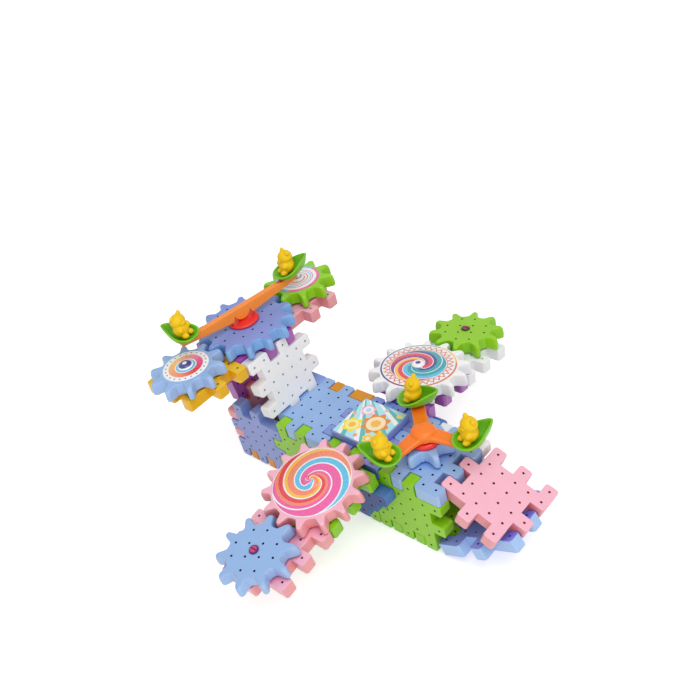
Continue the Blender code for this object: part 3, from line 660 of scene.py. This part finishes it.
for place in ("right_large", "right_small", "left_large", "left_small", "tail_right", "tail_left"):
    crown = PIN_SEAT + PIN_RISE
    profile = [(0, PIN_FOOT), (SHAFT * 0.8, PIN_FOOT), (SHAFT, PIN_FOOT + 0.06 * CELL), (SHAFT, PIN_SEAT),
               (PIN_HEAD, PIN_SEAT), (PIN_HEAD, PIN_SEAT + 0.05 * CELL),
               (PIN_HEAD * 0.93, PIN_SEAT + 0.075 * CELL), (PIN_HEAD * 0.78, PIN_SEAT + 0.06 * CELL),
               (PIN_HEAD * 0.74, crown - 0.02 * CELL), (PIN_HEAD * 0.66, crown), (0, crown)]
    mesh = turned("pin_" + place, [(r, h - GEAR_TOP) for r, h in profile], 40)
    piece = loose("pin_" + place, mesh, russet if place == "left_small" else magenta, ring_dark)
    for face in mesh.polygons:
        if face.center.xy.length > PIN_HEAD * 0.74 and face.center.z > PIN_SEAT - GEAR_TOP - 0.001:
            face.material_index = 1
    notch = box_mesh("notch", (0.6 * CELL, 0.07 * CELL, 0.16 * CELL), (0, 0, crown - GEAR_TOP))
    notch.materials.append(ring_dark)
    joined(piece, notch, "DIFFERENCE")
    even(piece)
    settle(piece, "axle_pin_" + place, gear_frames["gear_" + place], "airframe", ("pin_" + place,))

# One more magenta pin stands in the deck by itself, pressed into a tile as the others are,
# with only its small round head showing.
piece = loose("deck_pin", merged(nodes["deck_pin"].data), magenta)
soften(piece, 0.03 * CELL, 3)
even(piece)
settle(piece, "deck_peg", Matrix.Identity(4), "airframe", ("deck_pin",))

# The deck plate: a raised square of the same plastic, snapped over the deck's middle cells,
# with a printed card of aqua, white and teal rays and round blossoms on its top.
CARD_MARGIN = 0.1 * CELL
CARD_THICK = 0.02 * CELL
piece = loose("deck_plate", merged(nodes["deck_plate"].data), plastics["periwinkle"][0])
plate_at, plate_size = lie(piece.data)
soften(piece, 0.08 * CELL, 3)
even(piece)
settle(piece, "deck_plate_moulded", Matrix.Identity(4), "airframe", ("deck_plate",))
card = Print("card_ink", plate_at, (0.55, 0.84, 0.90))
AQUA = (0.42, 0.78, 0.86)
SEA = (0.10, 0.50, 0.46)
_, turn = card.around(-2.6, 2.9)
card.ink = card.bands(card.maths("MULTIPLY", turn, 22.0), ((0.0, AQUA), (0.3, PAPER), (0.55, SEA), (0.8, AQUA)))


def blossom(x, y, size, petals, outer, inner, heart):
    """A round flower of petals printed on the card."""
    radius, turn = card.around(x, y)
    wave = card.maths("COSINE", card.maths("MULTIPLY", turn, tau * petals))
    edge = card.maths("ADD", card.maths("MULTIPLY", wave, 0.12 * size), 0.88 * size)
    card.lay(card.below(radius, edge), outer)
    card.lay(card.below(radius, 0.66 * size), inner)
    card.lay(card.below(radius, 0.34 * size), heart)


blossom(0.5, 0.1, 1.08, 8, (0.80, 0.24, 0.03), (0.96, 0.80, 0.46), (0.93, 0.48, 0.08))
blossom(-1.0, -0.75, 0.78, 6, (0.93, 0.74, 0.02), (0.96, 0.84, 0.30), (0.93, 0.50, 0.04))
blossom(-0.9, 1.0, 0.6, 5, (0.90, 0.42, 0.58), (0.95, 0.85, 0.88), (0.40, 0.70, 0.88))
blossom(0.95, -1.35, 0.46, 6, (0.93, 0.74, 0.02), (0.94, 0.50, 0.10), (0.95, 0.86, 0.50))
for x, y, size, colour in ((1.55, 1.5, 0.22, (0.93, 0.80, 0.15)), (-0.1, -1.5, 0.17, (0.90, 0.35, 0.15)),
                           (0.35, 1.55, 0.15, (0.90, 0.45, 0.60)), (-1.6, 0.25, 0.15, (0.90, 0.45, 0.20))):
    radius, turn = card.around(x, y)
    card.lay(card.below(radius, size), colour)
card_size = (plate_size[0] - 2 * CARD_MARGIN, plate_size[1] - 2 * CARD_MARGIN, CARD_THICK)
piece = loose("card", box_mesh("card", card_size, (0, 0, 0.6 * CARD_THICK)), card.done())
soften(piece, 0.008 * CELL, 2)
settle(piece, "deck_card", plate_at, "airframe")

# Two hubs: red moulded caps whose shafts run down through the gears into the tiles, as the
# pins' do. They turn with the rotor's gear and the tail's large gear.
red = moulded("red_plastic", (0.80, 0.035, 0.03), rough=0.25)
for name, gear, hub, rise in (("hub_rotor", "gear_rotor", 1.05 * CELL, 0.34 * CELL),
                             ("hub_tail", "gear_tail_large", 1.2 * CELL, 0.22 * CELL)):
    crown = PIN_SEAT + rise
    profile = [(0, PIN_FOOT), (SHAFT, PIN_FOOT), (SHAFT, PIN_SEAT), (hub * 0.97, PIN_SEAT),
               (hub, PIN_SEAT + 0.03 * CELL), (hub, PIN_SEAT + rise * 0.5),
               (hub * 0.975, PIN_SEAT + rise * 0.72), (hub * 0.91, PIN_SEAT + rise * 0.92),
               (hub * 0.83, crown), (0, crown)]
    piece = loose(name, turned(name, [(r, h - GEAR_TOP) for r, h in profile], 72), red)
    even(piece)
    settle(piece, name + "_cap", gear_frames[gear], nodes[name]["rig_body"], (name,))

# Rotor: one orange moulding, a low dome that blends into three broad drooping arms. It is
# pressed onto the red hub over the rotor's gear, and carries a seat at the end of each arm.
orange = moulded("orange_plastic", (0.95, 0.205, 0.016), rough=0.27)
ROTOR_TOP = 0.82
rotor_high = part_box("rotor")[1]
hub_low, hub_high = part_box("hub_rotor")
rotor_at = Matrix.Translation(((hub_low[0] + hub_high[0]) / 2, (hub_low[1] + hub_high[1]) / 2,
                               rotor_high[2] - ROTOR_TOP * CELL))
# The dome's (radius, height) in cells, and each arm's half width, low side and high side at
# distances from the hub.
DOME = ((0, 0), (0.78, 0), (0.88, 0.12), (0.88, 0.42), (0.82, 0.58), (0.68, 0.71), (0.45, 0.79), (0.2, 0.818),
        (0, ROTOR_TOP))
ARM_ANGLES = (-105, 15, 135)
ARM = ((0.3, 0.66, 0.08, 0.52), (0.7, 0.58, 0.07, 0.46), (1.2, 0.52, 0.04, 0.36), (2.3, 0.5, -0.1, 0.16),
       (3.0, 0.49, -0.17, 0.13), (3.53, 0.48, -0.22, 0.12))
form = bmesh.new()
form.from_mesh(turned("dome", [(r * CELL, h * CELL) for r, h in DOME], 64))
for angle in ARM_ANGLES:
    a = radians(angle)
    rings = []
    for r, wide, low, high in ARM:
        section = ((-wide, low), (wide, low), (wide * 0.97, high - 0.05), (wide * 0.8, high), (0, high - 0.02),
                   (-wide * 0.8, high), (-wide * 0.97, high - 0.05))
        rings.append([(r * cos(a) - y * sin(a), r * sin(a) + y * cos(a), z) for y, z in section])
    form.from_mesh(skin(rings, "arm"))
bmesh.ops.recalc_face_normals(form, faces=form.faces)
rotor_mesh = bpy.data.meshes.new("rotor_mesh")
form.to_mesh(rotor_mesh)
form.free()
piece = loose("rotor_piece", rotor_mesh, orange)


def fuse(piece, voxel, rounds):
    """Melts overlapping lumps into one moulding and rounds the joins."""
    remesh = piece.modifiers.new("fuse", "REMESH")
    remesh.mode = "VOXEL"
    remesh.voxel_size = voxel
    remesh.use_smooth_shade = True
    smooth = piece.modifiers.new("round", "SMOOTH")
    smooth.factor = 0.5
    smooth.iterations = rounds


fuse(piece, 0.045 * CELL, 3)
settle(piece, "rotor_arms", rotor_at, "rotor_spinner", ("rotor",))

# Seesaw: an orange moulded beam on edge over the tail's large gear, deep at its middle, where
# its round boss stands on the red hub and turns with it.
light_orange = moulded("light_orange_plastic", (0.96, 0.28, 0.035), rough=0.27)
piece = loose("seesaw_piece", merged(nodes["seesaw"].data), light_orange)
soften(piece, 0.07 * CELL, 3)
even(piece)
settle(piece, "seesaw_beam", Matrix.Identity(4), "tail_carousel", ("seesaw",))

# Seats: thin green leaf-shaped cups, moulded with a point at one end, where the rim stands
# highest. They clip onto the ends of the rotor's arms and of the seesaw's beam.
leaf = moulded("leaf_plastic", (0.19, 0.52, 0.012), rough=0.28)
# In cells: half the length and width, the point's reach, the wall, the floor's height, the
# rim's height and its rise to the point.
SEAT_LONG, SEAT_WIDE, SEAT_TIP = 1.32, 1.02, 0.34
SEAT_WALL, SEAT_FLOOR, SEAT_LOW, SEAT_BACK = 0.15, 0.2, 0.42, 0.68
SEAT_SHIFT = 0.027 * CELL
# How the outside swells from foot to rim: (share of the outline, share of the height).
OUTSIDE = ((0.3, 0.0), (0.5, 0.0), (0.62, 0.05), (0.75, 0.19), (0.86, 0.42), (0.94, 0.7), (0.99, 0.93),
           (1.0, 1.0))
LEAF_POINTS = 72


def leaf_ring(scale, inset, height, rise):
    """A leaf outline in cells, pointed at +x, where its rim stands higher."""
    ring = []
    for k in range(LEAF_POINTS):
        a = tau * k / LEAF_POINTS
        long = SEAT_LONG * cos(a) + SEAT_TIP * max(0, cos(a)) ** 6
        wide = SEAT_WIDE * sin(a) * (1 - 0.25 * cos(a))
        keep = scale - inset / max((long * long + wide * wide) ** 0.5, 1e-6)
        back = ((1 + cos(a)) / 2) ** 1.5
        ring.append((long * keep, wide * keep, height + rise * (SEAT_LOW + SEAT_BACK * back)))
    return ring


def seat_place(node):
    """The seat's foot and turn, from the CAD seat: its tip is its highest point."""
    points = [v.co for v in nodes[node].data.vertices]
    low = min(p.z for p in points)
    foot = [p for p in points if p.z < low + 1e-5]
    foot = sum(foot, Vector()) / len(foot)
    tip = max(points, key=lambda p: p.z)
    ahead = (tip - foot).xy.to_3d().normalized()
    turn = Matrix((ahead, Vector((0, 0, 1)).cross(ahead), Vector((0, 0, 1)))).transposed().to_4x4()
    return Matrix.Translation(foot - ahead * SEAT_SHIFT) @ turn


seat_frames = {}
for place in ("rotor_1", "rotor_2", "rotor_3", "tail_right", "tail_left"):
    seat_frames[place] = seat_place("seat_" + place)
    rings = [leaf_ring(scale, 0, 0, rise) for scale, rise in OUTSIDE]
    rings += [leaf_ring(1.0, SEAT_WALL * 0.35, 0.03, 1.0), leaf_ring(1.0, SEAT_WALL * 0.8, 0.02, 1.0)]
    rings += [leaf_ring(scale, SEAT_WALL * (0.6 + 0.4 * scale), SEAT_FLOOR * (1 - rise * 0.9), rise)
              for scale, rise in OUTSIDE[::-1]]
    piece = loose("seat_piece", skin(rings, "seat_mesh"), leaf)
    even(piece)
    body = nodes["seat_" + place]["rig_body"]
    settle(piece, "leaf_seat_" + place, seat_frames[place], body, ("seat_" + place,))

# Riders: solid yellow bear cubs, each a single moulding with round ears, a snout, arms and
# legs. They sit pressed onto the seats' floors, with their legs forward.
yellow = moulded("rider_plastic", (0.86, 0.55, 0.0), rough=0.5)
RIDER_SIZE = 0.84 * CELL
RIDER_LIFT = (SEAT_FLOOR + 0.035) * CELL - 0.12 * RIDER_SIZE
# The lumps that make a cub: (centre, radii) in shares of its size.
RIDER_LUMPS = (
    ((-0.1, 0, 0.92), (0.7, 0.76, 0.78)), ((-0.04, 0, 1.74), (0.66, 0.74, 0.6)),
    ((-0.06, 0, 1.34), (0.6, 0.68, 0.45)), ((0.02, 0.5, 2.2), (0.2, 0.23, 0.26)),
    ((0.02, -0.5, 2.2), (0.2, 0.23, 0.26)), ((-0.52, 0, 1.58), (0.28, 0.34, 0.27)),
    ((-0.54, 0.27, 1.86), (0.12, 0.12, 0.12)), ((-0.54, -0.27, 1.86), (0.12, 0.12, 0.12)),
    ((-0.62, 0.36, 0.42), (0.36, 0.29, 0.27)), ((-0.62, -0.36, 0.42), (0.36, 0.29, 0.27)),
    ((-0.42, 0.52, 1.1), (0.36, 0.27, 0.3)), ((-0.42, -0.52, 1.1), (0.36, 0.27, 0.3)),
)
for place, at in seat_frames.items():
    form = bmesh.new()
    for centre, radii in RIDER_LUMPS:
        lump = bmesh.ops.create_uvsphere(form, u_segments=24, v_segments=16, radius=1)
        grow = Matrix.Diagonal((*(r * RIDER_SIZE for r in radii), 1))
        shift = Matrix.Translation(Vector(centre) * RIDER_SIZE)
        bmesh.ops.transform(form, matrix=shift @ grow, verts=lump["verts"])
    mesh = bpy.data.meshes.new("rider_mesh")
    form.to_mesh(mesh)
    form.free()
    piece = loose("rider_piece", mesh, yellow)
    fuse(piece, 0.035 * CELL, 5)
    lift = Matrix.Translation((0, 0, RIDER_LIFT))
    settle(piece, "cub_" + place, at @ lift, nodes["seat_" + place]["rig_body"], ("rider_" + place,))

# Floor and backdrop: one pale sheet just below the belly, bright enough to read as white
# where nothing shades it, that takes the object's soft shadow.
FLOOR_SPAN = 4.0
FLOOR_TOP = -0.0004
FLOOR_GLOW = 0.5


def shown(tree):
    """1 for what the camera sees, straight or through a reflection or clear plastic."""
    path = tree.nodes.new("ShaderNodeLightPath")
    seen = path.outputs["Is Camera Ray"]
    for ray in ("Is Glossy Ray", "Is Transmission Ray"):
        seen = wire(tree, "ShaderNodeMath", {"operation": "MAXIMUM"}, i0=seen, i1=path.outputs[ray]).outputs[0]
    return seen


floor_mesh = bpy.data.meshes.new("floor")
corners = [(x * FLOOR_SPAN, y * FLOOR_SPAN, FLOOR_TOP) for x, y in ((-1, -1), (1, -1), (1, 1), (-1, 1))]
floor_mesh.from_pydata(corners, [], [(0, 1, 2, 3)])
floor = bpy.data.objects.new("floor", floor_mesh)
bpy.context.scene.collection.objects.link(floor)
paper = bpy.data.materials.new("paper")
paper.use_nodes = True
ink = paper.node_tree
shader = ink.nodes["Principled BSDF"]
weave = wire(ink, "ShaderNodeTexNoise", Vector=wire(ink, "ShaderNodeTexCoord").outputs["Object"], Scale=300.0)
tone = wire(ink, "ShaderNodeMix", {"data_type": "RGBA"}, Factor=weave.outputs["Fac"])
tone.inputs[6].default_value = (0.88, 0.88, 0.88, 1)
tone.inputs[7].default_value = (0.9, 0.9, 0.9, 1)
ink.links.new(tone.outputs[2], shader.inputs["Base Color"])
shader.inputs["Roughness"].default_value = 0.9
shader.inputs["Emission Color"].default_value = (1, 1, 1, 1)
lift = wire(ink, "ShaderNodeMath", {"operation": "MULTIPLY"}, i0=shown(ink), i1=FLOOR_GLOW)
ink.links.new(lift.outputs[0], shader.inputs["Emission Strength"])
floor_mesh.materials.append(paper)

# Studio light: an even white room, a large soft key lamp high over the camera and a fill
# lamp low on its left, both square.
ROOM = 0.55
LAMP_WIDTH = 0.6
LAMPS = (("key", (0.35, -0.1, 0.9), 4.0), ("fill", (0.5, -0.7, 0.35), 1.2))
LAMP_AIM = Vector((0, 0, 0.05))
world = bpy.data.worlds.new("studio")
bpy.context.scene.world = world
world.use_nodes = True
room = world.node_tree
room.nodes["Background"].inputs["Color"].default_value = (1, 1, 1, 1)
bright = wire(room, "ShaderNodeMath", {"operation": "MULTIPLY_ADD"}, i0=shown(room), i1=1.0 - ROOM, i2=ROOM)
room.links.new(bright.outputs[0], room.nodes["Background"].inputs["Strength"])
for name, spot, power in LAMPS:
    lamp = bpy.data.lights.new(name, "AREA")
    lamp.size = LAMP_WIDTH
    lamp.energy = power
    lamp_object = bpy.data.objects.new(name, lamp)
    lamp_object.location = spot
    lamp_object.rotation_euler = (LAMP_AIM - Vector(spot)).to_track_quat("-Z", "Y").to_euler()
    bpy.context.scene.collection.objects.link(lamp_object)

# Camera at the photograph's angle, from above the nose and to its right, with the frame
# shifted so that the object stands where it does in the photograph.
CAMERA_AT = (0.29138, -0.25196, 0.38839)
CAMERA_UP = Vector((-0.28244, 0.57673, 0.76656)).normalized()
CAMERA_BACK = Vector((0.65274, -0.47003, 0.59414)).normalized()
camera = bpy.data.cameras.new("camera")
camera.lens = 43.277
camera.sensor_width = 36
camera.shift_x = 0.07784
camera.shift_y = 0.0393
camera_object = bpy.data.objects.new("camera", camera)
turn = Matrix((CAMERA_UP.cross(CAMERA_BACK), CAMERA_UP, CAMERA_BACK)).transposed().to_4x4()
camera_object.matrix_world = Matrix.Translation(CAMERA_AT) @ turn
bpy.context.scene.collection.objects.link(camera_object)
bpy.context.scene.camera = camera_object
bpy.context.scene.view_settings.view_transform = "Standard"
